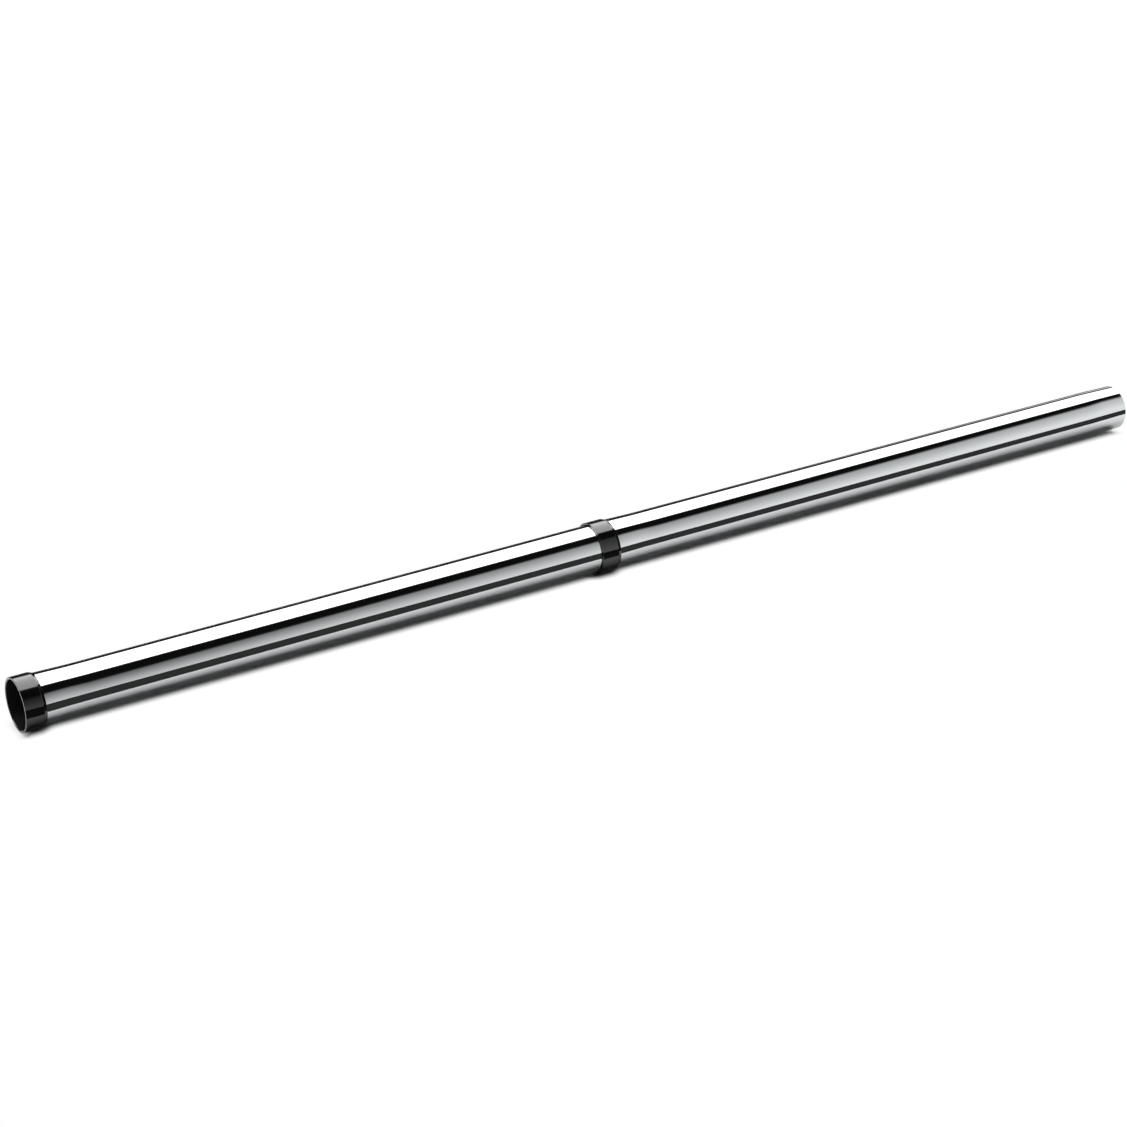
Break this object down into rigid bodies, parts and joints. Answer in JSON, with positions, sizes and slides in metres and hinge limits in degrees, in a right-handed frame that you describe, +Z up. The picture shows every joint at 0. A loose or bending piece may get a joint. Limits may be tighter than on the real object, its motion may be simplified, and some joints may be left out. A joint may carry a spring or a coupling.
{
  "type": "vacuum cleaner tube",
  "caption": "Straight chromed steel suction tube for a vacuum cleaner, in sections that push together by a cone plug and socket, with a black plastic collar around each socket.",
  "frame": {"origin": "middle of the tube's length, on the floor that the collars lie on", "axes": "+X along the tube from the open socket to the free plug, +Z up"},
  "size_m": [0.92, 0.0384, 0.0384],
  "materials": {
    "chromed_steel": "polished chrome plating",
    "black_plastic": "smooth glossy moulding"
  },
  "bodies": {
    "rear_section": {"rear_tube": "chromed_steel", "rear_collar": "black_plastic"},
    "front_section": {"front_tube": "chromed_steel", "front_collar": "black_plastic"}
  },
  "joints": [
    {"name": "plug_slide", "type": "slide", "parent": "rear_section", "child": "front_section", "axis": [1, 0, 0], "range_m": [0, 0.045]}
  ]
}
